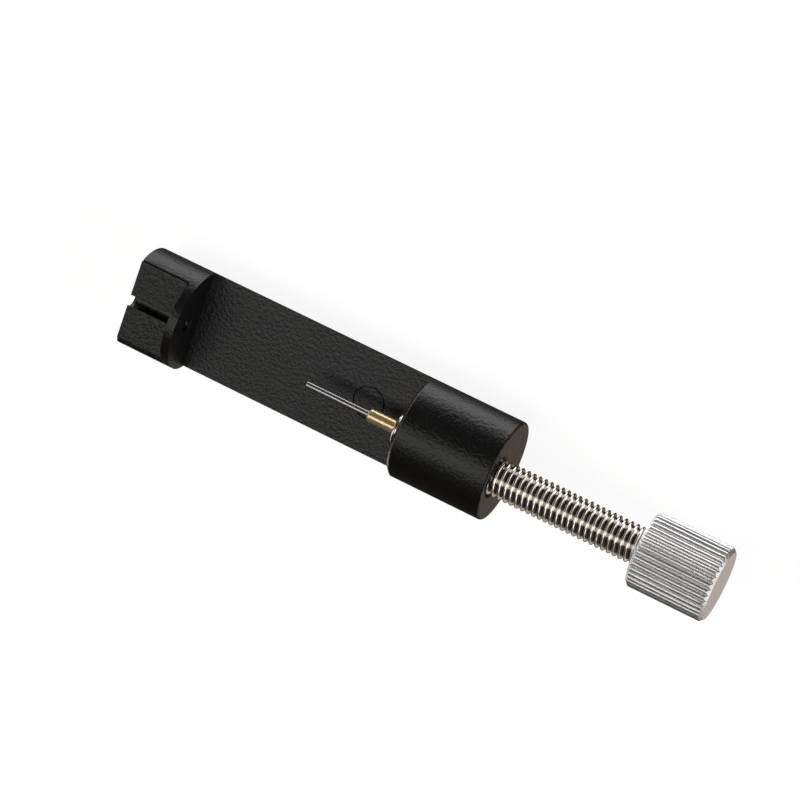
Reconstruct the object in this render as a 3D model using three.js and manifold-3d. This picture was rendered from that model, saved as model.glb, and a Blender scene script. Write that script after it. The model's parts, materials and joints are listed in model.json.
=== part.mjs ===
// Watch band tool: a small hand press that pushes the pins out of a metal watch band.
// A round black plastic cradle holds the band in an open saddle. A screw with a knurled
// knob runs through the solid head of the cradle and drives a thin steel pin along the
// saddle, and the pushed-out link pin leaves through a channel in the far block.
// Millimetres. X is the long axis, with the knob at +X, and Z points out of the saddle.
// The origin is on the axis of the round cradle, at the shoulder where the solid head
// meets the saddle.

import * as THREE from 'three';
import Module from 'manifold-3d';
import { mergeVertices } from 'three/addons/utils/BufferGeometryUtils.js';

const wasm = await Module();
wasm.setup();

// Cradle
const cradleDiameter = 13.5;
const headLength = 13.3;
const saddleLength = 31.8;
const farBlockLength = 8.35;
const saddleFloorHeight = -0.95;
const cradleEdgeBreak = 0.3;
const shoulderChamfer = 0.45;
const cradleSides = 56;

// Round mark in the saddle floor, a narrow ring groove
const markDiameter = 4.4;
const markWidth = 0.2;
const markDepth = 0.4;
const markFromShoulder = 6.65;
const markSides = 28;

// Flat on the far block, with a raised panel inside a narrow groove
const collarLength = 1.2;
const panelHeight = 3.35;
const panelGrooveWidth = 0.24;
const panelGrooveDepth = 0.35;
const panelLandWidth = 0.08;
const panelCornerRadius = 0.45;
const panelCornerSteps = 5;

// Channel for the pushed-out link pin
const channelDiameter = 2.0;
const channelSides = 20;

// Screw, a standard metric thread
const screwAxisHeight = 2.65;
const threadDiameter = 4.95;
const threadPitch = 0.8;
const threadDepthShare = 0.6134;
const threadCrestShare = 0.125;
const threadRootShare = 0.25;
const threadSteps = 16;
const spareTurns = 2;
const screwNoseLength = 0.95;
const screwNoseChamfer = 0.4;
const freeScrewLength = 20.3;
const shankDiameter = 3.8;
const shankLength = 8.0;
const shankChamfer = 0.4;

// Tapped hole in the head
const threadClearance = 0.12;
const flankClearance = 0.03;
const headCountersink = 0.45;
const shoulderCountersink = 0.2;

// Knob
const knobDiameter = 10.0;
const knobLength = 10.6;
const knobChamfer = 0.45;
const knobBoreClearance = 0.05;
const knobSides = 72;
const ridgeCount = 36;
const ridgeDepth = 0.32;
const ridgeTopShare = 0.36;
const ridgeValleyShare = 0.2;

// Brass pin holder and steel pin
const holderDiameter = 1.8;
const holderExposedLength = 4.1;
const holderSeatLength = 5.0;
const holderChamfer = 0.25;
const holderClearance = 0.12;
const pinDiameter = 0.9;
const pinExposedLength = 9.0;
const pinSeatLength = 2.6;
const pinTipBreak = 0.1;
const pinClearance = 0.05;
const smallRoundSides = 20;

// Shared
const seatGap = 0.3;
const cutOverrun = 1.0;
const weldDistance = 1e-4;

// Worked out from the sizes above
const cradleRadius = cradleDiameter / 2;
const farWall = -saddleLength;
const farEnd = farWall - farBlockLength;
const threadRadius = threadDiameter / 2;
const threadDepth = threadPitch * threadDepthShare;
const screwBlankSides = 2 * threadSteps;
const screwNose = -screwNoseLength;
const knobFace = headLength + freeScrewLength;
const threadEnd = knobFace - seatGap;
const shankEnd = threadEnd + shankLength;
const holderFront = screwNose - holderExposedLength;
const holderBack = screwNose + holderSeatLength;
const pinTip = holderFront - pinExposedLength;
const pinBack = holderFront + pinSeatLength;

// A geometry as a closed solid for cutting and joining.
function solidOf(geometry) {
  geometry.deleteAttribute('normal');
  geometry.deleteAttribute('uv');
  const merged = mergeVertices(geometry, weldDistance);
  return new wasm.Manifold(new wasm.Mesh({
    numProp: 3,
    vertProperties: merged.attributes.position.array,
    triVerts: merged.index.array,
  }));
}

// A solid as a named mesh.
function meshOf(name, solid, material) {
  const result = solid.getMesh();
  const geometry = new THREE.BufferGeometry();
  geometry.setAttribute('position', new THREE.BufferAttribute(result.vertProperties, 3));
  geometry.setIndex(new THREE.BufferAttribute(result.triVerts, 1));
  geometry.computeVertexNormals();
  const mesh = new THREE.Mesh(geometry, material);
  mesh.name = name;
  return mesh;
}

// A round solid about the X direction, from points of place along X and radius.
function turned(profile, sides, axisHeight = 0) {
  const points = profile.map(([along, radius]) => new THREE.Vector2(radius, along));
  const geometry = new THREE.LatheGeometry(points, sides);
  geometry.rotateZ(-Math.PI / 2);
  geometry.translate(0, 0, axisHeight);
  return solidOf(geometry);
}

// A plain round bar about the X direction.
function bar(start, end, radius, sides, axisHeight) {
  return turned([[start, 0], [start, radius], [end, radius], [end, 0]], sides, axisHeight);
}

// A rectangular block between two corners.
function block(low, high) {
  const size = high.map((value, i) => value - low[i]);
  const geometry = new THREE.BoxGeometry(...size);
  geometry.translate(...low.map((value, i) => value + size[i] / 2));
  return solidOf(geometry);
}

// A screw thread about the X axis, right-handed, with one crest centred on every whole
// turn. Neighbouring turns share their corners, and a fan to the axis closes each end.
function threadSolid({ radius, depth, crest, root, firstTurn, lastTurn }) {
  const flank = (threadPitch - crest - root) / 2;
  const corners = [
    [-crest / 2 - flank, radius - depth],
    [-crest / 2, radius],
    [crest / 2, radius],
    [crest / 2 + flank, radius - depth],
  ];
  const first = firstTurn * threadSteps;
  const steps = (lastTurn - firstTurn) * threadSteps;
  const positions = [];
  const faces = [];
  for (let step = 0; step <= steps + threadSteps; step += 1) {
    const turn = (first + step) / threadSteps;
    const angle = 2 * Math.PI * turn;
    for (const [along, distance] of corners) {
      const y = distance * Math.cos(angle);
      const z = distance * Math.sin(angle);
      positions.push(turn * threadPitch + along, y, z);
    }
  }
  const corner = (step, index) => step * corners.length + index;
  const quad = (a, b, c, d) => faces.push(a, c, b, a, d, c);
  for (let step = 0; step < steps; step += 1) {
    for (let index = 0; index < corners.length - 1; index += 1) {
      quad(
        corner(step, index), corner(step, index + 1),
        corner(step + 1, index + 1), corner(step + 1, index),
      );
    }
    const last = corners.length - 1;
    const above = step + threadSteps;
    quad(corner(step, last), corner(above, 0), corner(above + 1, 0), corner(step + 1, last));
  }
  const cap = (step, forward) => {
    const centre = positions.length / 3;
    positions.push((first + step) / threadSteps * threadPitch, 0, 0);
    const rim = corners.map((_, index) => corner(step, index));
    for (let back = threadSteps; back >= 0; back -= 1) {
      rim.push(corner(step + back, 0));
    }
    rim.forEach((from, place) => {
      const to = rim[(place + 1) % rim.length];
      if (from !== to) {
        faces.push(centre, ...(forward ? [from, to] : [to, from]));
      }
    });
  };
  cap(0, true);
  cap(steps, false);
  const geometry = new THREE.BufferGeometry();
  geometry.setAttribute('position', new THREE.Float32BufferAttribute(positions, 3));
  geometry.setIndex(faces);
  return solidOf(geometry);
}

// The threaded stretch of the screw, cut to length with chamfered ends.
function screwThread() {
  const long = threadSolid({
    radius: threadRadius,
    depth: threadDepth,
    crest: threadPitch * threadCrestShare,
    root: threadPitch * threadRootShare,
    firstTurn: Math.floor(screwNose / threadPitch) - spareTurns,
    lastTurn: Math.ceil(threadEnd / threadPitch) + spareTurns,
  }).translate([0, 0, screwAxisHeight]);
  const blank = turned([
    [screwNose, 0],
    [screwNose, threadRadius - screwNoseChamfer],
    [screwNose + screwNoseChamfer, threadRadius],
    [threadEnd - screwNoseChamfer, threadRadius],
    [threadEnd, threadRadius - screwNoseChamfer],
    [threadEnd, 0],
  ], screwBlankSides, screwAxisHeight);
  return long.intersect(blank);
}

// Screw: threaded bar, plain shank inside the knob, blind socket for the pin holder.
function threadedSpindle() {
  const shankRadius = shankDiameter / 2;
  const shank = turned([
    [threadEnd - seatGap, 0],
    [threadEnd - seatGap, shankRadius],
    [shankEnd - shankChamfer, shankRadius],
    [shankEnd, shankRadius - shankChamfer],
    [shankEnd, 0],
  ], smallRoundSides, screwAxisHeight);
  const socketRadius = holderDiameter / 2 + holderClearance;
  const socket = bar(
    screwNose - cutOverrun, holderBack + seatGap, socketRadius, smallRoundSides, screwAxisHeight,
  );
  return screwThread().add(shank).subtract(socket);
}

// The tapped hole through the head, with a countersink at each mouth.
function tappedHole() {
  const radius = threadRadius + threadClearance;
  const thread = threadSolid({
    radius,
    depth: threadDepth,
    crest: threadPitch * threadCrestShare + 2 * flankClearance,
    root: threadPitch * threadRootShare - 2 * flankClearance,
    firstTurn: -spareTurns,
    lastTurn: Math.ceil(headLength / threadPitch) + spareTurns,
  }).translate([0, 0, screwAxisHeight]);
  const headMouth = turned([
    [headLength - headCountersink, 0],
    [headLength - headCountersink, radius],
    [headLength, radius + headCountersink],
    [headLength + cutOverrun, radius + headCountersink],
    [headLength + cutOverrun, 0],
  ], screwBlankSides, screwAxisHeight);
  const shoulderMouth = turned([
    [-cutOverrun, 0],
    [-cutOverrun, radius + shoulderCountersink],
    [0, radius + shoulderCountersink],
    [shoulderCountersink, radius],
    [shoulderCountersink, 0],
  ], screwBlankSides, screwAxisHeight);
  return thread.add(headMouth).add(shoulderMouth);
}

// The space over the flat of the far block, with the groove round its panel. A narrow land
// is left between the groove and the round side.
function flatCut() {
  const inner = farWall - collarLength;
  const outer = farEnd - cutOverrun;
  const past = cradleRadius + cutOverrun;
  const grooveFloor = panelHeight - panelGrooveDepth;
  const halfFlat = Math.sqrt(cradleRadius ** 2 - panelHeight ** 2);
  const halfGroove = halfFlat - panelLandWidth;
  const halfPanel = halfGroove - panelGrooveWidth;
  const panelEnd = inner - panelGrooveWidth;
  const corner = panelEnd - panelCornerRadius;
  const outline = new THREE.Shape();
  outline.moveTo(outer, -halfPanel);
  outline.lineTo(corner, -halfPanel);
  outline.absarc(corner, panelCornerRadius - halfPanel, panelCornerRadius, -Math.PI / 2, 0);
  outline.lineTo(panelEnd, halfPanel - panelCornerRadius);
  outline.absarc(corner, halfPanel - panelCornerRadius, panelCornerRadius, 0, Math.PI / 2);
  outline.lineTo(outer, halfPanel);
  const panel = new THREE.ExtrudeGeometry(outline, {
    depth: panelGrooveDepth + cutOverrun,
    bevelEnabled: false,
    curveSegments: panelCornerSteps,
  });
  panel.translate(0, 0, grooveFloor - cutOverrun);
  const over = block([outer, -past, panelHeight], [inner, past, past]);
  const groove = block([outer, -halfGroove, grooveFloor], [inner, halfGroove, past]);
  return groove.subtract(solidOf(panel)).add(over);
}

// The ring that breaks the round edge of the shoulder, as far down as the saddle floor.
function shoulderEdgeCut() {
  const past = cradleRadius + cutOverrun;
  const inside = cradleRadius - shoulderChamfer - cutOverrun;
  const reach = shoulderChamfer + cutOverrun;
  const ring = turned([
    [-cutOverrun, inside],
    [-cutOverrun, past],
    [reach, past],
    [-cutOverrun, inside],
  ], cradleSides);
  return ring.intersect(block([-past, -past, saddleFloorHeight], [past, past, past]));
}

// An upright round bar at the middle of the mark, between two heights.
function markBar(radius, low, high) {
  const cylinder = new THREE.CylinderGeometry(radius, radius, high - low, markSides);
  cylinder.rotateX(Math.PI / 2);
  cylinder.translate(-markFromShoulder, 0, (low + high) / 2);
  return solidOf(cylinder);
}

// The ring groove that an ejector pin of the mould leaves in the saddle floor.
function markCut() {
  const bottom = saddleFloorHeight - markDepth;
  const above = saddleFloorHeight + cutOverrun;
  const outer = markBar(markDiameter / 2, bottom, above);
  const inner = markBar(markDiameter / 2 - markWidth, bottom - cutOverrun, above + cutOverrun);
  return outer.subtract(inner);
}

// Cradle: solid head, open saddle with a flat floor, and far block.
function cradleBody() {
  const past = cradleRadius + cutOverrun;
  const stock = turned([
    [farEnd, 0],
    [farEnd, cradleRadius - cradleEdgeBreak],
    [farEnd + cradleEdgeBreak, cradleRadius],
    [headLength - cradleEdgeBreak, cradleRadius],
    [headLength, cradleRadius - cradleEdgeBreak],
    [headLength, 0],
  ], cradleSides);
  const saddle = block([farWall, -past, saddleFloorHeight], [0, past, past]);
  const channel = bar(
    farEnd - cutOverrun, farWall + cutOverrun, channelDiameter / 2, channelSides, screwAxisHeight,
  );
  return stock
    .subtract(saddle)
    .subtract(shoulderEdgeCut())
    .subtract(markCut())
    .subtract(flatCut())
    .subtract(channel)
    .subtract(tappedHole());
}

// Knob: straight knurl, chamfered at both ends, with a blind bore for the shank.
function knobBody() {
  const knobRadius = knobDiameter / 2;
  const valley = knobRadius - ridgeDepth;
  const ridgeAngle = 2 * Math.PI / ridgeCount;
  const halfTop = ridgeAngle * ridgeTopShare / 2;
  const halfFoot = ridgeAngle * (1 - ridgeValleyShare) / 2;
  const points = [];
  for (let ridge = 0; ridge < ridgeCount; ridge += 1) {
    const middle = ridge * ridgeAngle;
    const outline = [
      [-halfFoot, valley],
      [-halfTop, knobRadius],
      [halfTop, knobRadius],
      [halfFoot, valley],
    ];
    for (const [turn, distance] of outline) {
      const angle = middle + turn;
      points.push(new THREE.Vector2(distance * Math.cos(angle), distance * Math.sin(angle)));
    }
  }
  const knurl = new THREE.ExtrudeGeometry(new THREE.Shape(points), {
    depth: knobLength,
    bevelEnabled: false,
  });
  knurl.rotateY(Math.PI / 2);
  knurl.translate(knobFace, 0, screwAxisHeight);
  const knobEnd = knobFace + knobLength;
  const blank = turned([
    [knobFace, 0],
    [knobFace, knobRadius - knobChamfer],
    [knobFace + knobChamfer, knobRadius],
    [knobEnd - knobChamfer, knobRadius],
    [knobEnd, knobRadius - knobChamfer],
    [knobEnd, 0],
  ], knobSides, screwAxisHeight);
  const boreRadius = shankDiameter / 2 + knobBoreClearance;
  const bore = bar(
    knobFace - cutOverrun, shankEnd + seatGap, boreRadius, smallRoundSides, screwAxisHeight,
  );
  return solidOf(knurl).intersect(blank).subtract(bore);
}

// Brass holder: seated in the socket of the screw, with a bore for the pin in its front.
function pinHolder() {
  const holderRadius = holderDiameter / 2;
  const outside = turned([
    [holderFront, 0],
    [holderFront, holderRadius - holderChamfer],
    [holderFront + holderChamfer, holderRadius],
    [holderBack, holderRadius],
    [holderBack, 0],
  ], smallRoundSides, screwAxisHeight);
  const bore = bar(
    holderFront - cutOverrun, pinBack + pinClearance, pinDiameter / 2 + pinClearance,
    smallRoundSides, screwAxisHeight,
  );
  return outside.subtract(bore);
}

// Steel pin: plain round wire with a slightly broken tip edge.
function drivePin() {
  const pinRadius = pinDiameter / 2;
  return turned([
    [pinTip, 0],
    [pinTip, pinRadius - pinTipBreak],
    [pinTip + pinTipBreak, pinRadius],
    [pinBack, pinRadius],
    [pinBack, 0],
  ], smallRoundSides, screwAxisHeight);
}

// Materials
const blackPlastic = new THREE.MeshStandardMaterial({
  color: 0x16171a, roughness: 0.55, metalness: 0,
});
const nickelSteel = new THREE.MeshStandardMaterial({
  color: 0xb9b2a8, roughness: 0.18, metalness: 1,
});
const silverAluminium = new THREE.MeshStandardMaterial({
  color: 0xe2e3e5, roughness: 0.25, metalness: 1,
});
const brass = new THREE.MeshStandardMaterial({
  color: 0xd9a755, roughness: 0.25, metalness: 1,
});
const pinSteel = new THREE.MeshStandardMaterial({
  color: 0xc7c9cc, roughness: 0.15, metalness: 1,
});

const tool = new THREE.Group();
tool.name = 'watch_band_tool';
tool.add(
  meshOf('cradle_body', cradleBody(), blackPlastic),
  meshOf('threaded_spindle', threadedSpindle(), nickelSteel),
  meshOf('knob', knobBody(), silverAluminium),
  meshOf('pin_holder', pinHolder(), brass),
  meshOf('drive_pin', drivePin(), pinSteel),
);

export default tool;
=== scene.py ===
"""Watch band tool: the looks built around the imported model, in metres, in the model's own frame.

X runs along the tool towards the knob and Z points out of the open saddle.
"""

import json
import math

import bmesh
import bpy
from mathutils import Matrix, Vector


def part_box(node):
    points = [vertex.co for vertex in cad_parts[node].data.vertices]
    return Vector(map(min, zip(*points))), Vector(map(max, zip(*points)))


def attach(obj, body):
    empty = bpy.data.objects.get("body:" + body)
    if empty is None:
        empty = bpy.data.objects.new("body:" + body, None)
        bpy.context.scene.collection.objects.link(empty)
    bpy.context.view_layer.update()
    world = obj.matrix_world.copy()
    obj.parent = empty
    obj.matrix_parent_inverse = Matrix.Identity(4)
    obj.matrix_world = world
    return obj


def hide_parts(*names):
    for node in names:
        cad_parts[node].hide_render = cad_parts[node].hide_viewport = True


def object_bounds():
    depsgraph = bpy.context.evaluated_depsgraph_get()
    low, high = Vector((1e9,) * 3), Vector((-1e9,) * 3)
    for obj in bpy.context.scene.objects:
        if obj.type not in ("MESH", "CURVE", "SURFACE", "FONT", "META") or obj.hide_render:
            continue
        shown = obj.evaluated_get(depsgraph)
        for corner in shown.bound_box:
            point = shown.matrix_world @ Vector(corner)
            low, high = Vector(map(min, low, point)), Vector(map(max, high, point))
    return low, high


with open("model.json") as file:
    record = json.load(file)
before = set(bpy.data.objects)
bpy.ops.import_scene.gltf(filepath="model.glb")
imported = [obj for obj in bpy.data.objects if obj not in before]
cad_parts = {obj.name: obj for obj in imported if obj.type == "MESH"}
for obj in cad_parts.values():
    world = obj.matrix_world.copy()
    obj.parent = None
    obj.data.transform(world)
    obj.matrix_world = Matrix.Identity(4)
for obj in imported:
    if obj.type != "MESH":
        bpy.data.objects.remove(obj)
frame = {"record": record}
cad_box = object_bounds()

# Places that the frame gives
mounts = {mount["name"]: mount["pos_m"] for mount in frame["record"]["mounts"]}
cradle_low, cradle_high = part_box("cradle_body")
screw_low, screw_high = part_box("threaded_spindle")
knob_low, knob_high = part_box("knob")
holder_low, holder_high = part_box("pin_holder")
pin_low, pin_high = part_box("drive_pin")
AXIS_HEIGHT = (knob_low.z + knob_high.z) / 2
CRADLE_RADIUS = cradle_high.y
THREAD_RADIUS = screw_high.y
KNOB_RADIUS = knob_high.y
HOLDER_RADIUS = holder_high.y
PIN_RADIUS = pin_high.y
HEAD_FACE = cradle_high.x
FAR_END = cradle_low.x
SCREW_NOSE = screw_low.x
FAR_WALL = mounts["far_wall"][0]
SADDLE_FLOOR = mounts["saddle_floor"][2]

# Cradle
RIM_ROUND = 0.00035
RIM_STEPS = 6
EDGE_ROUND = 0.00009
EDGE_STEPS = 3
SHOULDER_CHAMFER = 0.00045
CRADLE_SIDES = 256
CUT_OVERRUN = 0.001
MARK_RADIUS = 0.0022
MARK_WIDTH = 0.00018
MARK_DEPTH = 0.0004
MARK_PLACE = -0.00665
MARK_SIDES = 72
COLLAR_LENGTH = 0.0012
PANEL_HEIGHT = 0.00335
PANEL_CORNER = 0.00045
PANEL_CORNER_STEPS = 8
PANEL_EDGE_ROUND = 0.00008
PANEL_EDGE_STEPS = 4
PANEL_BORDER_WIDTH = 0.00028
PANEL_BORDER_TILT = math.radians(13)
GROOVE_WIDTH = 0.00024
GROOVE_DEPTH = 0.00035
LAND_WIDTH = 0.00008
CHANNEL_RADIUS = 0.001
CHANNEL_SIDES = 48
MOUTH_COUNTERSINK = 0.00045
SHOULDER_COUNTERSINK = 0.0002

# Screw. The thread's form is in pairs: the share of a turn from the crest's middle, and the share of
# the thread's depth that stands there.
PITCH = 0.0008
THREAD_DEPTH = 0.00049
THREAD_SHARES = [(0, 1), (0.0625, 1), (0.1875, 0.8), (0.4375, 0), (0.5, 0)]
THREAD_SAMPLES = 16
THREAD_SIDES = 96
SPARE_TURNS = 2
NOSE_CHAMFER = 0.00034
NOSE_ROUND = 0.0001
SEAT_GAP = 0.0003
THREAD_END = knob_low.x - SEAT_GAP
SHANK_RADIUS = 0.0019
SHANK_CHAMFER = 0.0004
SOCKET_CLEARANCE = 0.0001
SOCKET_CHAMFER = 0.00015
THREAD_CLEARANCE = 0.00012
SLEEVE_WALL = 0.00015

# Knob. From the middle of a ridge, its rounded top takes the shoulder's share of the way to the next
# groove, and falls by the fall's share of the depth.
RIDGE_COUNT = 36
RIDGE_DEPTH = 0.00032
RIDGE_SAMPLES = 18
RIDGE_SHOULDER_SHARE = 0.78
RIDGE_FALL_SHARE = 0.5
KNOB_CHAMFER = 0.00045
KNOB_CHAMFER_STEPS = 5
KNOB_EDGE_ROUND = 0.00006
KNOB_STATIONS = 6

# Holder and pin
HOLDER_CHAMFER = 0.00025
HOLDER_EDGE_ROUND = 0.0001
HOLDER_EDGE_STEPS = 3
HOLDER_BORE_CHAMFER = 0.0001
PIN_TIP_ROUND = 0.00012
PIN_TIP_STEPS = 5
PIN_CLEARANCE = 0.00003
SMALL_SIDES = 64

# Meshes. A block's corners are counted with Z changing first and X last.
MERGE_DISTANCE = 2e-7
SHARP_ANGLE = math.radians(38)
BLOCK_FACES = ((0, 1, 3, 2), (4, 6, 7, 5), (0, 4, 5, 1), (2, 3, 7, 6), (0, 2, 6, 4), (1, 5, 7, 3))

# Shading of the cradle's faces
SEAM_GAP = 0.00015
FLAT_COSINE = 0.9999
FLAT_AREA = 5e-8
ROUND_TOLERANCE = 1e-6
BLEND_COSINE = 0.85
ROUND_COSINE = 0.999
SAME_COSINE = 0.99999

# Noise: where most of its values lie, its layers, and how strong each layer is beside the one before
LOW_SHARE = 0.3
HIGH_SHARE = 0.7
COARSE_LAYERS = 3
FINE_LAYERS = 2
LAYER_SHARE = 0.55

# Black plastic. Sizes are those of the patterns, and depths are those of their bumps.
MOTTLE_SIZE = 0.00045
MOTTLE_DEPTH = 0.00008
GRAIN_SIZE = 0.00014
GRAIN_DEPTH = 0.000016
BLOTCH_SIZE = 0.004
PLASTIC_COLOURS = [(0.0042, 0.0042, 0.0045), (0.0066, 0.0064, 0.0064)]
PLASTIC_ROUGHNESS = (0.3, 0.38)
# Painted light: a lighter colour mixed into the base in a band at the saddle floor's height, to brighten the
# floor
PAINTED_LIGHT_REACH = 0.0003
PAINTED_LIGHT_COLOUR = (0.021, 0.021, 0.022)
PAINTED_LIGHT_LEAST_SHARE = 0.6

# Nickel plate, with its colours at shares of the thread's depth from the root; the darker root colour is
# painted shade
NICKEL_ROOT_SHADE_COLOUR = (0.3, 0.25, 0.21)
NICKEL_FLANK_COLOUR = (0.84, 0.81, 0.77)
NICKEL_CREST_COLOUR = (0.92, 0.9, 0.87)
NICKEL_FLANK_SHARE = 0.22
NICKEL_ROUGHNESS = (0.1, 0.2)
STREAK_SIZE = 0.0004
STREAK_DEPTH = 0.000004

# Aluminium. A stretch is the share that a pattern's frequency keeps along each axis.
ALUMINIUM_COLOURS = [(0.93, 0.93, 0.94), (0.98, 0.98, 0.98)]
ALUMINIUM_ROUGHNESS = (0.36, 0.48)
PATCH_SIZE = 0.0012
PATCH_STRETCH_SHARES = (0.3, 1, 1)
SCRATCH_SIZE = 0.00012
SCRATCH_STRETCH_SHARES = (0.15, 1, 1)
SCRATCH_DEPTH = 0.000004
TURNING_SPACING = 0.00012
TURNING_DEPTH = 0.0000008

# Brass
BRASS_COLOURS = [(0.92, 0.66, 0.35), (1.0, 0.82, 0.5)]
BRASS_ROUGHNESS = (0.2, 0.32)
BRASS_METAL_SHARE = 0.7
TARNISH_SIZE = 0.0006
TARNISH_STRETCH_SHARES = (0.4, 1, 1)
LATHE_SIZE = 0.00008
LATHE_STRETCH_SHARES = (1, 0.3, 0.3)
LATHE_DEPTH = 0.000003

# Steel of the pin
STEEL_COLOURS = [(0.4, 0.4, 0.41), (0.54, 0.54, 0.55)]
STEEL_ROUGHNESS = (0.22, 0.32)
DRAWN_SIZE = 0.00005
DRAWN_STRETCH_SHARES = (0.03, 1, 1)
DRAWN_DEPTH = 0.000002

# Camera, at the photograph's place
CAMERA_AZIMUTH = math.radians(144.306)
CAMERA_ELEVATION = math.radians(64.58)
CAMERA_ROLL = math.radians(-121.109)
CAMERA_DISTANCE = 0.3954
CAMERA_AIM = Vector((-0.00285, 0.002231, -0.000864))
PHOTO_SIDE = 800
FOCAL_PIXELS = 3130
CLIP_FACTOR = 100

# Floor and backdrop
FLOOR_REACH = 4.0
FLOOR_COLOUR = (0.3, 0.3, 0.3)
FLOOR_ROUGHNESS = 0.9
FLOOR_GLOW_COLOUR = (1, 1, 1)
FLOOR_GLOW = 0.9
BACKDROP_COLOUR = (1.0, 1.0, 1.0)

# Light. Each soft panel: where it starts and ends round the tool (degrees from +Z towards +Y), how soft
# those edges are, where it starts and ends along the tool (cosine with +X), and its colour.
LIGHT_PANELS = [
    (-20, 10, 5, -0.95, 0.2, (1.5, 1.48, 1.45)),
    (101, 138, 4, -0.95, 0.2, (2.2, 2.2, 2.22)),
    (78, 100, 4, -0.95, -0.62, (1.5, 1.5, 1.48)),
    (138, 175, 5, -0.95, -0.62, (1.0, 0.98, 0.95)),
    (-179, -125, 10, -0.95, -0.45, (1.2, 1.17, 1.13)),
    (-179, -105, 15, 0.2, 0.75, (0.4, 0.34, 0.3)),
    (-190, 190, 1, 0.8, 0.95, (1.7, 1.68, 1.64)),
    (-190, 190, 1, -2, -0.84, (0.5, 0.48, 0.45)),
]
LIGHT_END_SOFTNESS = 0.12
FILL_COLOUR = (0.05, 0.042, 0.037)


# Mesh building

def clean(bm):
    """Merges doubled points, and takes out faces that have no area."""
    bmesh.ops.remove_doubles(bm, verts=bm.verts, dist=MERGE_DISTANCE)
    bmesh.ops.dissolve_degenerate(bm, edges=bm.edges, dist=MERGE_DISTANCE)


def link(name, bm, smooth=True):
    """A bmesh as a named object in the scene, with faces turned outwards and its sharp edges marked."""
    clean(bm)
    bmesh.ops.recalc_face_normals(bm, faces=bm.faces)
    for face in bm.faces:
        face.smooth = smooth
    for edge in bm.edges:
        if len(edge.link_faces) == 2:
            edge.smooth = edge.calc_face_angle(0) < SHARP_ANGLE
    mesh = bpy.data.meshes.new(name)
    bm.to_mesh(mesh)
    bm.free()
    piece = bpy.data.objects.new(name, mesh)
    bpy.context.scene.collection.objects.link(piece)
    return piece


def around(along, radius, angle, height=AXIS_HEIGHT):
    """A point at a place along X, a distance from an axis at a height, and an angle about that axis."""
    return Vector((along, radius * math.cos(angle), height + radius * math.sin(angle)))


def ring(bm, along, radius, sides, height=AXIS_HEIGHT):
    """A ring of points about the axis, or the same point all round where the radius is 0."""
    if radius == 0:
        pole = bm.verts.new(around(along, 0, 0, height))
        return [pole] * sides
    angles = [2 * math.pi * i / sides for i in range(sides)]
    return [bm.verts.new(around(along, radius, angle, height)) for angle in angles]


def bridge(bm, rings):
    """Faces between each ring and the next, which has as many points."""
    for first, second in zip(rings, rings[1:]):
        sides = len(first)
        for i in range(sides):
            corners = [first[i], first[(i + 1) % sides], second[(i + 1) % sides], second[i]]
            corners = list(dict.fromkeys(corners))
            if len(corners) > 2:
                bm.faces.new(corners)


def turned(name, profile, sides, height=AXIS_HEIGHT):
    """A solid of revolution from (place along X, radius) points.

    They start and end on the axis, or else they close on themselves.
    """
    bm = bmesh.new()
    rings = [ring(bm, along, radius, sides, height) for along, radius in profile]
    bridge(bm, rings)
    if profile[0][1] > 0:
        bridge(bm, [rings[-1], rings[0]])
    return link(name, bm)


def block(name, low, high):
    """A rectangular block between two corners."""
    bm = bmesh.new()
    xs, ys, zs = zip(low, high)
    corners = [bm.verts.new((x, y, z)) for x in xs for y in ys for z in zs]
    for face in BLOCK_FACES:
        bm.faces.new([corners[i] for i in face])
    return link(name, bm, smooth=False)


def rounded(corner, before, after, radius, steps):
    """Points of an arc that rounds a corner of a profile, from the side of one neighbour to the other."""
    corner, before, after = Vector(corner), Vector(before), Vector(after)
    one = (before - corner).normalized()
    two = (after - corner).normalized()
    half = one.angle(two) / 2
    reach = radius / math.tan(half)
    centre = corner + (one + two).normalized() * (radius / math.sin(half))
    start = corner + one * reach - centre
    end = corner + two * reach - centre
    turn = start.angle_signed(end)
    angles = [-turn * step / steps for step in range(steps + 1)]
    return [tuple(centre + Matrix.Rotation(angle, 2) @ start) for angle in angles]


def baked(piece):
    """The piece with its modifiers applied, and the cutters that they used removed."""
    bpy.context.view_layer.update()
    shaped = piece.evaluated_get(bpy.context.evaluated_depsgraph_get())
    mesh = bpy.data.meshes.new_from_object(shaped)
    cutters = [m.object for m in piece.modifiers if m.type == "BOOLEAN"]
    piece.modifiers.clear()
    piece.data = mesh
    for cutter in cutters:
        bpy.data.objects.remove(cutter)
    return piece


def cut(piece, cutter):
    """Takes the cutter's shape out of the piece."""
    modifier = piece.modifiers.new("cut", "BOOLEAN")
    modifier.operation = "DIFFERENCE"
    modifier.solver = "EXACT"
    modifier.object = cutter
    cutter.hide_render = True


# Cradle

def cradle_stock():
    """The round bar that the cradle is cut from, with rounded rims at both ends."""
    far_corner = (FAR_END, CRADLE_RADIUS)
    near_corner = (HEAD_FACE, CRADLE_RADIUS)
    profile = [(FAR_END, 0)]
    profile += rounded(far_corner, (FAR_END, 0), near_corner, RIM_ROUND, RIM_STEPS)
    profile += rounded(near_corner, far_corner, (HEAD_FACE, 0), RIM_ROUND, RIM_STEPS)
    profile += [(HEAD_FACE, 0)]
    return turned("cradle", profile, CRADLE_SIDES, 0)


def saddle_cutter():
    """The open space over the saddle floor, from the far wall to the shoulder."""
    past = CRADLE_RADIUS + CUT_OVERRUN
    return block("saddle", (FAR_WALL, -past, SADDLE_FLOOR), (0, past, past))


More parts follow.
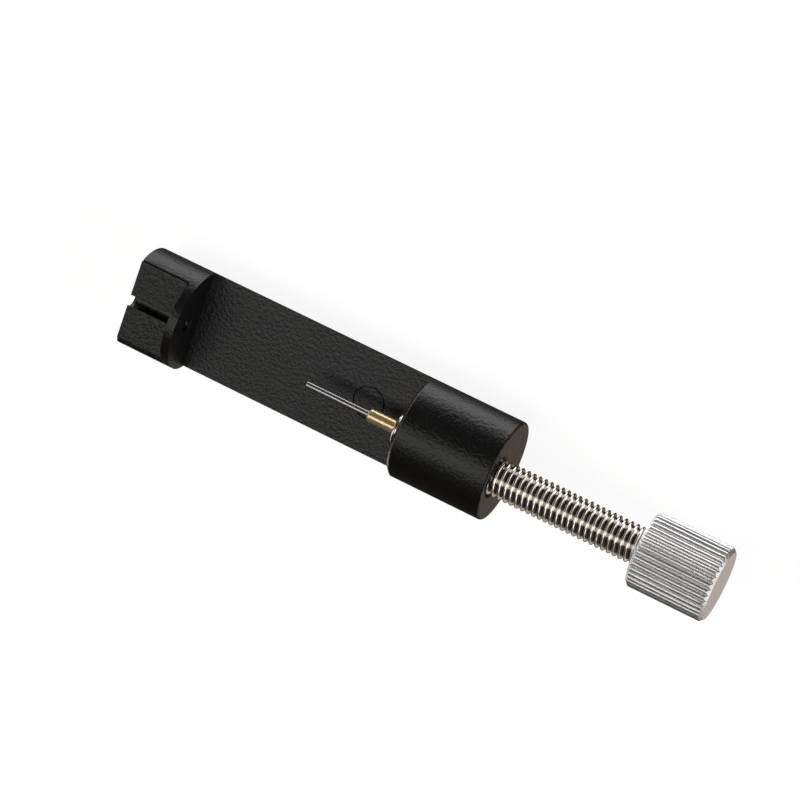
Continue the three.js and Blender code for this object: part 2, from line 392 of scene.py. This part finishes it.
def shoulder_cutter():
    """The ring that breaks the round edge of the shoulder, as far down as the saddle floor."""
    past = CRADLE_RADIUS + CUT_OVERRUN
    profile = [
        (-CUT_OVERRUN, CRADLE_RADIUS - SHOULDER_CHAMFER - CUT_OVERRUN),
        (SHOULDER_CHAMFER + CUT_OVERRUN, past),
        (-CUT_OVERRUN, past),
    ]
    chamfer = turned("shoulder_edge", profile, CRADLE_SIDES, 0)
    cut(chamfer, block("below_floor", (-past, -2 * past, -2 * past), (past, 2 * past, SADDLE_FLOOR)))
    return baked(chamfer)


def half_flat():
    """Half the width of the flat on the far block."""
    return math.sqrt(CRADLE_RADIUS ** 2 - PANEL_HEIGHT ** 2)


def panel_outline(inset):
    """The outline of the raised panel, drawn in from its edge."""
    half = half_flat() - LAND_WIDTH - GROOVE_WIDTH - inset
    inner = FAR_WALL - COLLAR_LENGTH - GROOVE_WIDTH - inset
    outer = FAR_END - 2 * CUT_OVERRUN
    corner = PANEL_CORNER - inset
    outline = [(outer, -half)]
    outline += rounded((inner, -half), (outer, -half), (inner, half), corner, PANEL_CORNER_STEPS)
    outline += rounded((inner, half), (inner, -half), (outer, half), corner, PANEL_CORNER_STEPS)
    outline += [(outer, half)]
    return outline


def panel_block():
    """The raised panel, with a rounded edge and a sloped border, standing on a base below the groove."""
    bm = bmesh.new()

    def row(height, inset):
        return [bm.verts.new((x, y, height)) for x, y in panel_outline(inset)]

    edge_height = PANEL_HEIGHT - PANEL_BORDER_WIDTH * math.tan(PANEL_BORDER_TILT)
    rows = [row(PANEL_HEIGHT - GROOVE_DEPTH - CUT_OVERRUN, 0)]
    for step in range(PANEL_EDGE_STEPS + 1):
        angle = (math.pi / 2 - PANEL_BORDER_TILT) * step / PANEL_EDGE_STEPS
        height = edge_height - PANEL_EDGE_ROUND * (1 - math.sin(angle))
        rows.append(row(height, PANEL_EDGE_ROUND * (1 - math.cos(angle))))
    rows.append(row(PANEL_HEIGHT, PANEL_BORDER_WIDTH))
    bridge(bm, rows)
    bm.faces.new(rows[0])
    bm.faces.new(rows[-1])
    return link("panel", bm, smooth=False)


def groove_cutter():
    """The space round the panel, down to the floor of its groove and out to the land beside it."""
    inner = FAR_WALL - COLLAR_LENGTH
    outer = FAR_END - CUT_OVERRUN
    past = CRADLE_RADIUS + CUT_OVERRUN
    half = half_flat() - LAND_WIDTH
    panel = panel_block()
    space = block("panel_space", (outer, -half, PANEL_HEIGHT - GROOVE_DEPTH), (inner, half, past))
    cut(space, panel)
    return baked(space)


def flat_cutter():
    """The space over the flat of the far block, up to the collar at the far wall."""
    past = CRADLE_RADIUS + CUT_OVERRUN
    low = (FAR_END - CUT_OVERRUN, -past, PANEL_HEIGHT)
    return block("above_flat", low, (FAR_WALL - COLLAR_LENGTH, past, past))


def channel_cutter():
    """The round channel through the far block that lets a link pin out."""
    profile = [
        (FAR_END - CUT_OVERRUN, 0),
        (FAR_END - CUT_OVERRUN, CHANNEL_RADIUS),
        (FAR_WALL + CUT_OVERRUN, CHANNEL_RADIUS),
        (FAR_WALL + CUT_OVERRUN, 0),
    ]
    return turned("channel", profile, CHANNEL_SIDES)


def bore_cutter():
    """The screw's bore through the head, with a countersink at each mouth."""
    radius = THREAD_RADIUS + THREAD_CLEARANCE
    wide = radius + MOUTH_COUNTERSINK
    shoulder = radius + SHOULDER_COUNTERSINK
    profile = [
        (-CUT_OVERRUN, 0),
        (-CUT_OVERRUN, shoulder),
        (0, shoulder),
        (SHOULDER_COUNTERSINK, radius),
        (HEAD_FACE - MOUTH_COUNTERSINK, radius),
        (HEAD_FACE, wide),
        (HEAD_FACE + CUT_OVERRUN, wide),
        (HEAD_FACE + CUT_OVERRUN, 0),
    ]
    return turned("bore", profile, THREAD_SIDES)


def mark_cutter():
    """The narrow ring groove that an ejector pin of the mould leaves in the saddle floor."""
    profile = [
        (SADDLE_FLOOR - MARK_DEPTH, MARK_RADIUS - MARK_WIDTH),
        (SADDLE_FLOOR - MARK_DEPTH, MARK_RADIUS),
        (SADDLE_FLOOR + CUT_OVERRUN, MARK_RADIUS),
        (SADDLE_FLOOR + CUT_OVERRUN, MARK_RADIUS - MARK_WIDTH),
    ]
    mark = turned("mark", profile, MARK_SIDES, 0)
    upright = Matrix.Rotation(-math.pi / 2, 4, "Y")
    mark.data.transform(Matrix.Translation((MARK_PLACE, 0, 0)) @ upright)
    return mark


def round_edges(piece):
    """Rounds every sharp edge of a piece a little."""
    bevel = piece.modifiers.new("edges", "BEVEL")
    bevel.limit_method = "ANGLE"
    bevel.angle_limit = SHARP_ANGLE
    bevel.width = EDGE_ROUND
    bevel.segments = EDGE_STEPS
    bevel.loop_slide = False
    baked(piece)


def add_seams(mesh):
    """Cuts the long faces near their ends, so that the shading of the edges stays close to the edges."""
    places = [HEAD_FACE - RIM_ROUND - SEAM_GAP, SHOULDER_CHAMFER + 2 * SEAM_GAP, -SEAM_GAP]
    places += [FAR_WALL + SEAM_GAP, FAR_WALL - SEAM_GAP, FAR_END + RIM_ROUND + SEAM_GAP]
    bm = bmesh.new()
    bm.from_mesh(mesh)
    clean(bm)
    for along in places:
        plane = {"plane_co": (along, 0, 0), "plane_no": (1, 0, 0)}
        everything = bm.verts[:] + bm.edges[:] + bm.faces[:]
        bmesh.ops.bisect_plane(bm, geom=everything, dist=MERGE_DISTANCE, **plane)
    bm.to_mesh(mesh)
    bm.free()


def broad_normals(mesh, polygon):
    """The true normals at the corners of a flat face or of one on the round side, or None for any other."""
    points = [mesh.vertices[i].co for i in polygon.vertices]
    radial = [Vector((0, p.y, p.z)).normalized() for p in points]
    on_round = all(abs(math.hypot(p.y, p.z) - CRADLE_RADIUS) < ROUND_TOLERANCE for p in points)
    if on_round and all(polygon.normal.dot(direction) > ROUND_COSINE for direction in radial):
        return radial
    if max(abs(part) for part in polygon.normal) > FLAT_COSINE and polygon.area > FLAT_AREA:
        return [polygon.normal.copy() for _ in points]
    return None


def mark_creases(mesh, normals):
    """Marks each edge sharp where the normals on its two sides differ, so that each side keeps its own."""
    sides = {}
    for polygon in mesh.polygons:
        loops = list(polygon.loop_indices)
        for first, second in zip(loops, loops[1:] + loops[:1]):
            ends = sorted((mesh.loops[i].vertex_index, i) for i in (first, second))
            sides.setdefault(mesh.loops[first].edge_index, []).append([normals[i] for _, i in ends])
    for edge, found in sides.items():
        same = len(found) == 2 and all(a.dot(b) > SAME_COSINE for a, b in zip(*found))
        mesh.edges[edge].use_edge_sharp = not same


def set_true_normals(mesh):
    """Keeps flat faces flat and the round side round, with the narrow edge faces blending between them."""
    normals = [corner.vector.copy() for corner in mesh.corner_normals]
    known = {}
    narrow = []
    for polygon in mesh.polygons:
        broad = broad_normals(mesh, polygon)
        if broad is None:
            narrow.append(polygon)
            continue
        for loop, vertex, normal in zip(polygon.loop_indices, polygon.vertices, broad):
            normals[loop] = normal
            known.setdefault(vertex, []).append(normal)
    for polygon in narrow:
        for loop, vertex in zip(polygon.loop_indices, polygon.vertices):
            if vertex in known:
                nearest = max(known[vertex], key=polygon.normal.dot)
                if nearest.dot(polygon.normal) > BLEND_COSINE:
                    normals[loop] = nearest
    mark_creases(mesh, normals)
    mesh.normals_split_custom_set(normals)


def shade_edges(piece):
    """Smooth shading in which only the narrow faces at the edges bend the light."""
    add_seams(piece.data)
    for face in piece.data.polygons:
        face.use_smooth = True
    weighted = piece.modifiers.new("normals", "WEIGHTED_NORMAL")
    weighted.keep_sharp = True
    baked(piece)
    set_true_normals(piece.data)


def make_cradle():
    """The black moulding: solid head, open saddle with a flat floor, and far block with its panel."""
    cradle = cradle_stock()
    makers = [saddle_cutter, shoulder_cutter, groove_cutter, flat_cutter, channel_cutter, bore_cutter]
    for make in makers:
        cut(cradle, make())
    baked(cradle)
    round_edges(cradle)
    cut(cradle, mark_cutter())
    baked(cradle)
    shade_edges(cradle)
    return cradle


# Screw

def thread_shape(share):
    """Height of the thread at a share of a turn from the crest's middle: 0 at the root, 1 on the crest."""
    away = min(share % 1, -share % 1)
    for (start, high), (end, low) in zip(THREAD_SHARES, THREAD_SHARES[1:]):
        if away <= end:
            return high + (low - high) * (away - start) / (end - start)
    return THREAD_SHARES[-1][1]


def thread_point(along, turn, radius, limit):
    """A point of the thread at a place along X and a share of a turn, no further out than the limit."""
    height = thread_shape(along / PITCH - turn)
    distance = min(radius - THREAD_DEPTH * (1 - height), limit(along))
    return around(along, distance, 2 * math.pi * turn)


def thread_surface(bm, start, end, radius, limit):
    """The helical surface of a thread, cut square at its start and end."""
    first_turn = math.floor(start / PITCH) - SPARE_TURNS
    last_turn = math.ceil(end / PITCH) + SPARE_TURNS
    rows = (last_turn - first_turn) * THREAD_SAMPLES

    def point(row, side):
        turn = side / THREAD_SIDES
        along = ((row / THREAD_SAMPLES) + first_turn + turn) * PITCH
        return thread_point(min(max(along, start), end), turn, radius, limit)

    grid = [[bm.verts.new(point(row, side)) for side in range(THREAD_SIDES)] for row in range(rows)]
    for row in range(rows - THREAD_SAMPLES - 1):
        near, far = grid[row], grid[row + 1]
        for side in range(THREAD_SIDES - 1):
            bm.faces.new((near[side], near[side + 1], far[side + 1], far[side]))
        beyond = row + THREAD_SAMPLES
        bm.faces.new((near[-1], grid[beyond][0], grid[beyond + 1][0], far[-1]))


def end_ring(bm, along, radius, limit):
    """The outline of the thread where it is cut square."""
    turns = [side / THREAD_SIDES for side in range(THREAD_SIDES)]
    return [bm.verts.new(thread_point(along, turn, radius, limit)) for turn in turns]


def make_screw():
    """The threaded bar, with a chamfered nose, the socket for the holder and the plain shank in the knob."""
    def reach(depth):
        rounding = NOSE_ROUND * (1 - math.sqrt(min(depth / NOSE_ROUND, 1)))
        return THREAD_RADIUS - NOSE_CHAMFER + depth - rounding

    def limit(along):
        return min(reach(along - SCREW_NOSE), reach(THREAD_END - along), THREAD_RADIUS)

    bm = bmesh.new()
    thread_surface(bm, SCREW_NOSE, THREAD_END, THREAD_RADIUS, limit)
    socket = HOLDER_RADIUS + SOCKET_CLEARANCE
    bottom = holder_high.x + SOCKET_CLEARANCE
    front = [
        (SCREW_NOSE, socket + SOCKET_CHAMFER),
        (SCREW_NOSE + SOCKET_CHAMFER, socket),
        (bottom, socket),
        (bottom, 0),
    ]
    back = [
        (THREAD_END, SHANK_RADIUS),
        (screw_high.x - SHANK_CHAMFER, SHANK_RADIUS),
        (screw_high.x, SHANK_RADIUS - SHANK_CHAMFER),
        (screw_high.x, 0),
    ]
    for start, profile in ((SCREW_NOSE, front), (THREAD_END, back)):
        rings = [end_ring(bm, start, THREAD_RADIUS, limit)]
        rings += [ring(bm, along, radius, THREAD_SIDES) for along, radius in profile]
        bridge(bm, rings)
    return link("screw", bm)


def make_head_thread():
    """The turns of the tapped hole, as a thin sleeve let into the bore of the head."""
    radius = THREAD_RADIUS + THREAD_CLEARANCE
    outer = radius + SLEEVE_WALL
    start = SHOULDER_COUNTERSINK
    end = HEAD_FACE - MOUTH_COUNTERSINK

    def limit(along):
        return radius

    bm = bmesh.new()
    thread_surface(bm, start, end, radius, limit)
    outside = [
        end_ring(bm, start, radius, limit),
        ring(bm, start, outer, THREAD_SIDES),
        ring(bm, end, outer, THREAD_SIDES),
        end_ring(bm, end, radius, limit),
    ]
    bridge(bm, outside)
    return link("head_thread", bm)


# Knob

def knurl_radius(angle):
    """Distance of the knurled surface from the axis, with broad rounded ridges between narrow grooves."""
    share = (angle / (2 * math.pi) * RIDGE_COUNT) % 1
    away = abs(2 * share - 1)
    over = min(away / RIDGE_SHOULDER_SHARE, 1)
    fall = RIDGE_FALL_SHARE * over * over
    if away > RIDGE_SHOULDER_SHARE:
        fall += (1 - RIDGE_FALL_SHARE) * (away - RIDGE_SHOULDER_SHARE) / (1 - RIDGE_SHOULDER_SHARE)
    return KNOB_RADIUS - RIDGE_DEPTH * fall


def knob_stations():
    """The places along the knob that have a ring of points: close together in both chamfers."""
    start, end = knob_low.x, knob_high.x
    steps = [KNOB_CHAMFER * step / KNOB_CHAMFER_STEPS for step in range(KNOB_CHAMFER_STEPS + 1)]
    middle = [start + (end - start) * i / KNOB_STATIONS for i in range(1, KNOB_STATIONS)]
    return [start + step for step in steps] + middle + [end - step for step in reversed(steps)]


def make_knob():
    """The knurled knob, chamfered at both ends, with the blind bore for the shank."""
    start, end = knob_low.x, knob_high.x
    sides = RIDGE_COUNT * RIDGE_SAMPLES
    angles = [2 * math.pi * side / sides for side in range(sides)]
    bore = SHANK_RADIUS + SOCKET_CLEARANCE
    bottom = screw_high.x + SOCKET_CLEARANCE
    face_radius = KNOB_RADIUS - KNOB_CHAMFER - KNOB_EDGE_ROUND
    bm = bmesh.new()
    knurl = []
    for along in knob_stations():
        limit = KNOB_RADIUS - KNOB_CHAMFER + min(along - start, end - along)
        points = [around(along, min(knurl_radius(angle), limit), angle) for angle in angles]
        knurl.append([bm.verts.new(point) for point in points])
    front_profile = [(bottom, 0), (bottom, bore), (start, bore), (start, face_radius)]
    front = [ring(bm, along, radius, sides) for along, radius in front_profile]
    back = [ring(bm, end, face_radius, sides), ring(bm, end, 0, sides)]
    bridge(bm, front + knurl + back)
    return link("knurled_knob", bm)


# Holder and pin

def make_holder():
    """The brass sleeve that holds the pin."""
    front, back = holder_low.x, holder_high.x
    bore = PIN_RADIUS + PIN_CLEARANCE
    bottom = pin_high.x + PIN_CLEARANCE
    face_corner = (front, HOLDER_RADIUS - HOLDER_CHAMFER)
    side_corner = (front + HOLDER_CHAMFER, HOLDER_RADIUS)
    profile = [(bottom, 0), (bottom, bore)]
    profile += [(front + HOLDER_BORE_CHAMFER, bore), (front, bore + HOLDER_BORE_CHAMFER)]
    profile += rounded(face_corner, (front, 0), side_corner, HOLDER_EDGE_ROUND, HOLDER_EDGE_STEPS)
    profile += rounded(side_corner, face_corner, (back, HOLDER_RADIUS), HOLDER_EDGE_ROUND, HOLDER_EDGE_STEPS)
    profile += [(back, HOLDER_RADIUS), (back, 0)]
    return turned("brass_holder", profile, SMALL_SIDES)


def make_pin():
    """The steel pin, with a rounded tip."""
    front, back = pin_low.x, pin_high.x
    profile = [(front, 0)]
    profile += rounded((front, PIN_RADIUS), (front, 0), (back, PIN_RADIUS), PIN_TIP_ROUND, PIN_TIP_STEPS)
    profile += [(back, PIN_RADIUS), (back, 0)]
    return turned("steel_pin", profile, SMALL_SIDES)


# Materials

class Nodes:
    """A node tree, with short ways to add and join nodes."""

    def __init__(self, tree):
        self.tree = tree

    def put(self, node, **values):
        """Sets a node's inputs, or else its properties, by their names with underscores for spaces."""
        for key, value in values.items():
            name = key.replace("_", " ")
            if name in node.inputs:
                node.inputs[name].default_value = value
            else:
                setattr(node, key, value)

    def add(self, kind, **values):
        """A new node with its values set."""
        node = self.tree.nodes.new(kind)
        self.put(node, **values)
        return node

    def join(self, source, target):
        """A link from an output to an input."""
        self.tree.links.new(source, target)

    def feed(self, node, *values):
        """Joins a node's inputs, in their order, to outputs, or sets them to constants."""
        for value, target in zip(values, node.inputs):
            if isinstance(value, bpy.types.NodeSocket):
                self.join(value, target)
            else:
                target.default_value = value

    def number(self, operation, *values):
        """The result of an operation on numbers."""
        node = self.add("ShaderNodeMath", operation=operation)
        self.feed(node, *values)
        return node.outputs["Value"]

    def vector(self, operation, *values):
        """The node of an operation on vectors."""
        node = self.add("ShaderNodeVectorMath", operation=operation)
        self.feed(node, *values)
        return node

    def noise(self, size, layers, stretch_shares=(1, 1, 1)):
        """Noise whose features are about size metres across."""
        place = self.add("ShaderNodeTexCoord")
        scale = self.add("ShaderNodeMapping", Scale=tuple(share / size for share in stretch_shares))
        self.join(place.outputs["Object"], scale.inputs["Vector"])
        noise = self.add("ShaderNodeTexNoise", Scale=1, Detail=layers, Roughness=LAYER_SHARE)
        self.join(scale.outputs["Vector"], noise.inputs["Vector"])
        return noise.outputs["Fac"]

    def spread(self, value, low, high, start=LOW_SHARE, end=HIGH_SHARE):
        """The part of a value between start and end, spread from low to high."""
        node = self.add("ShaderNodeMapRange", From_Min=start, From_Max=end, To_Min=low, To_Max=high)
        self.join(value, node.inputs["Value"])
        return node.outputs["Result"]

    def between(self, value, start, end, softness):
        """1 where the value lies between start and end, falling smoothly to 0 at both."""
        shares = []
        for edge, inside in ((start, 1), (end, -1)):
            soft = softness * inside
            node = self.add("ShaderNodeMapRange", interpolation_type="SMOOTHSTEP")
            self.put(node, From_Min=edge - soft, From_Max=edge + soft)
            self.join(value, node.inputs["Value"])
            shares.append(node.outputs["Result"])
        return self.number("MULTIPLY", *shares)


class Finish(Nodes):
    """A material's nodes, with its shader."""

    def __init__(self, name):
        self.material = bpy.data.materials.new(name)
        self.material.use_nodes = True
        super().__init__(self.material.node_tree)
        self.shader = self.tree.nodes["Principled BSDF"]

    def colour(self, value, stops):
        """The base colour that a value picks between (place, colour) stops."""
        ramp = self.add("ShaderNodeValToRGB")
        elements = ramp.color_ramp.elements
        for place, _ in stops[1:-1]:
            elements.new(place)
        for element, (place, colour) in zip(elements, stops):
            element.position = place
            element.color = (*colour, 1)
        self.join(value, ramp.inputs["Fac"])
        self.join(ramp.outputs["Color"], self.shader.inputs["Base Color"])

    def tint(self, noise, colours):
        """The base colour that noise picks between two colours."""
        self.colour(noise, list(zip((LOW_SHARE, HIGH_SHARE), colours)))

    def roughen(self, noise, limits):
        """The roughness that noise picks between two limits."""
        self.join(self.spread(noise, *limits), self.shader.inputs["Roughness"])

    def paint_light(self, pattern, height, reach, colour):
        """Paints light into the base colour: mixes a lighter colour into the base near one height, broken up
        by a pattern.
        """
        place = self.add("ShaderNodeTexCoord")
        parts = self.add("ShaderNodeSeparateXYZ")
        self.join(place.outputs["Object"], parts.inputs["Vector"])
        above = self.spread(parts.outputs["Z"], 0, 1, height - 2 * reach, height - reach)
        below = self.spread(parts.outputs["Z"], 1, 0, height + reach / 2, height + reach)
        level = self.number("MULTIPLY", above, below)
        share = self.number("MULTIPLY", level, self.spread(pattern, PAINTED_LIGHT_LEAST_SHARE, 1))
        mix = self.add("ShaderNodeMix", data_type="RGBA")
        sockets = {socket.identifier: socket for socket in (*mix.inputs, *mix.outputs)}
        self.join(share, sockets["Factor_Float"])
        self.join(self.shader.inputs["Base Color"].links[0].from_socket, sockets["A_Color"])
        sockets["B_Color"].default_value = (*colour, 1)
        self.join(sockets["Result_Color"], self.shader.inputs["Base Color"])

    def bumps(self, *layers):
        """Bump layers of (height value, depth in metres), one on the other."""
        normal = None
        for height, depth in layers:
            bump = self.add("ShaderNodeBump", Strength=1, Distance=depth)
            self.join(height, bump.inputs["Height"])
            if normal:
                self.join(normal, bump.inputs["Normal"])
            normal = bump.outputs["Normal"]
        self.join(normal, self.shader.inputs["Normal"])

    def from_axis(self):
        """Distance from the screw's axis, in metres."""
        place = self.add("ShaderNodeTexCoord")
        shifted = self.vector("SUBTRACT", place.outputs["Object"], (0, 0, AXIS_HEIGHT))
        across = self.vector("MULTIPLY", shifted.outputs["Vector"], (0, 1, 1))
        return self.vector("LENGTH", across.outputs["Vector"]).outputs["Value"]


def plastic():
    """Black moulded plastic with the mottled grain of a spark-eroded mould, and painted light on the saddle
    floor.
    """
    finish = Finish("black_plastic")
    mottle = finish.noise(MOTTLE_SIZE, COARSE_LAYERS)
    grain = finish.noise(GRAIN_SIZE, FINE_LAYERS)
    finish.tint(finish.noise(BLOTCH_SIZE, COARSE_LAYERS), PLASTIC_COLOURS)
    # Painted light that brightens the saddle floor, broken up by the mottle
    finish.paint_light(mottle, SADDLE_FLOOR, PAINTED_LIGHT_REACH, PAINTED_LIGHT_COLOUR)
    finish.roughen(grain, PLASTIC_ROUGHNESS)
    finish.bumps((mottle, MOTTLE_DEPTH), (grain, GRAIN_DEPTH))
    return finish.material


def nickel():
    """Bright nickel plate, with painted shade: a little darker and browner down in the root of the thread.
    """
    finish = Finish("nickel_steel")
    height = finish.spread(finish.from_axis(), 0, 1, THREAD_RADIUS - THREAD_DEPTH, THREAD_RADIUS)
    flank = (NICKEL_FLANK_SHARE, NICKEL_FLANK_COLOUR)
    # Painted shade: the colour darkens from the crest down to the root of the thread
    finish.colour(height, [(0, NICKEL_ROOT_SHADE_COLOUR), flank, (1, NICKEL_CREST_COLOUR)])
    streaks = finish.noise(STREAK_SIZE, COARSE_LAYERS)
    finish.roughen(streaks, NICKEL_ROUGHNESS)
    finish.bumps((streaks, STREAK_DEPTH))
    finish.put(finish.shader, Metallic=1)
    return finish.material


def aluminium():
    """Bright turned aluminium with faint tool marks."""
    finish = Finish("silver_aluminium")
    finish.tint(finish.noise(PATCH_SIZE, COARSE_LAYERS, PATCH_STRETCH_SHARES), ALUMINIUM_COLOURS)
    phase = finish.number("MULTIPLY", finish.from_axis(), 2 * math.pi / TURNING_SPACING)
    turning = finish.number("SINE", phase)
    scratches = finish.noise(SCRATCH_SIZE, FINE_LAYERS, SCRATCH_STRETCH_SHARES)
    finish.roughen(scratches, ALUMINIUM_ROUGHNESS)
    finish.bumps((turning, TURNING_DEPTH), (scratches, SCRATCH_DEPTH))
    finish.put(finish.shader, Metallic=1)
    return finish.material


def brass():
    """Turned brass, a little dull, so that it also scatters some light."""
    finish = Finish("brass")
    finish.tint(finish.noise(TARNISH_SIZE, COARSE_LAYERS, TARNISH_STRETCH_SHARES), BRASS_COLOURS)
    lathe_marks = finish.noise(LATHE_SIZE, FINE_LAYERS, LATHE_STRETCH_SHARES)
    finish.roughen(lathe_marks, BRASS_ROUGHNESS)
    finish.bumps((lathe_marks, LATHE_DEPTH))
    finish.put(finish.shader, Metallic=BRASS_METAL_SHARE)
    return finish.material


def steel():
    """Polished hard wire with faint lengthwise drawing lines."""
    finish = Finish("pin_steel")
    lines = finish.noise(DRAWN_SIZE, FINE_LAYERS, DRAWN_STRETCH_SHARES)
    finish.tint(lines, STEEL_COLOURS)
    finish.roughen(lines, STEEL_ROUGHNESS)
    finish.bumps((lines, DRAWN_DEPTH))
    finish.put(finish.shader, Metallic=1)
    return finish.material


def dress(piece, material, slot, body, *replaced):
    """Gives a piece its material, the body that it rides on and the nodes that it replaces. The slot is not
    used.
    """
    piece.data.materials.clear()
    piece.data.materials.append(material)
    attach(piece, body)
    if replaced:
        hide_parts(*replaced)


# Floor, light and camera

def make_floor():
    """A plain pale floor under the tool, which only the camera sees."""
    height = cad_box[0].z
    bm = bmesh.new()
    square = ((-1, -1), (1, -1), (1, 1), (-1, 1))
    bm.faces.new([bm.verts.new((x * FLOOR_REACH, y * FLOOR_REACH, height)) for x, y in square])
    floor = link("floor", bm, smooth=False)
    floor.visible_glossy = False
    floor.visible_diffuse = False
    floor.visible_shadow = False
    finish = Finish("floor")
    finish.put(finish.shader, Base_Color=(*FLOOR_COLOUR, 1), Roughness=FLOOR_ROUGHNESS, Specular_IOR_Level=0)
    finish.put(finish.shader, Emission_Color=(*FLOOR_GLOW_COLOUR, 1), Emission_Strength=FLOOR_GLOW)
    floor.data.materials.append(finish.material)


def make_light():
    """Plain soft studio light: large soft panels round the tool in dim surroundings."""
    world = bpy.data.worlds.new("studio")
    world.use_nodes = True
    bpy.context.scene.world = world
    nodes = Nodes(world.node_tree)
    place = nodes.add("ShaderNodeTexCoord")
    parts = nodes.add("ShaderNodeSeparateXYZ")
    nodes.join(place.outputs["Generated"], parts.inputs["Vector"])
    turn = nodes.number("ARCTAN2", parts.outputs["Y"], parts.outputs["Z"])
    total = FILL_COLOUR
    for start, end, softness, low, high, colour in LIGHT_PANELS:
        across = nodes.between(turn, math.radians(start), math.radians(end), math.radians(softness))
        along = nodes.between(parts.outputs["X"], low, high, LIGHT_END_SOFTNESS)
        glow = nodes.vector("SCALE", colour)
        nodes.join(nodes.number("MULTIPLY", across, along), glow.inputs["Scale"])
        total = nodes.vector("ADD", total, glow.outputs["Vector"]).outputs["Vector"]
    studio = nodes.tree.nodes["Background"]
    nodes.join(total, studio.inputs["Color"])
    plain = nodes.add("ShaderNodeBackground", Color=(*BACKDROP_COLOUR, 1))
    seen = nodes.add("ShaderNodeLightPath").outputs["Is Camera Ray"]
    mixed = nodes.add("ShaderNodeMixShader")
    nodes.feed(mixed, seen, studio.outputs["Background"], plain.outputs["Background"])
    nodes.join(mixed.outputs["Shader"], nodes.tree.nodes["World Output"].inputs["Surface"])


def camera_axes():
    """The camera's right, up and backward directions in the tool's frame."""
    level = math.cos(CAMERA_ELEVATION)
    back = Vector((
        math.sin(CAMERA_AZIMUTH) * level,
        -math.cos(CAMERA_AZIMUTH) * level,
        math.sin(CAMERA_ELEVATION),
    ))
    up = (Vector((0, 0, 1)) - back * back.z).normalized()
    right = up.cross(back)
    turn = Matrix.Rotation(CAMERA_ROLL, 3, back)
    return turn @ right, turn @ up, back


def make_camera():
    """The camera, with the photograph's angle and perspective."""
    right, up, back = camera_axes()
    data = bpy.data.cameras.new("camera")
    data.lens = FOCAL_PIXELS / PHOTO_SIDE * data.sensor_width
    data.clip_start = CAMERA_DISTANCE / CLIP_FACTOR
    data.clip_end = CAMERA_DISTANCE * CLIP_FACTOR
    camera = bpy.data.objects.new("camera", data)
    rotation = Matrix((right, up, back)).transposed().to_4x4()
    camera.matrix_world = Matrix.Translation(CAMERA_AIM + back * CAMERA_DISTANCE) @ rotation
    bpy.context.scene.collection.objects.link(camera)
    bpy.context.scene.camera = camera


black = plastic()
dress(make_cradle(), black, "black_plastic", "cradle", "cradle_body")
dress(make_head_thread(), black, "black_plastic", "cradle")
dress(make_screw(), nickel(), "nickel_steel", "spindle", "threaded_spindle")
dress(make_knob(), aluminium(), "silver_aluminium", "spindle", "knob")
dress(make_holder(), brass(), "brass", "pin_tip", "pin_holder")
dress(make_pin(), steel(), "pin_steel", "pin_tip", "drive_pin")
make_floor()
make_light()
make_camera()
bpy.context.scene.view_settings.view_transform = "Standard"
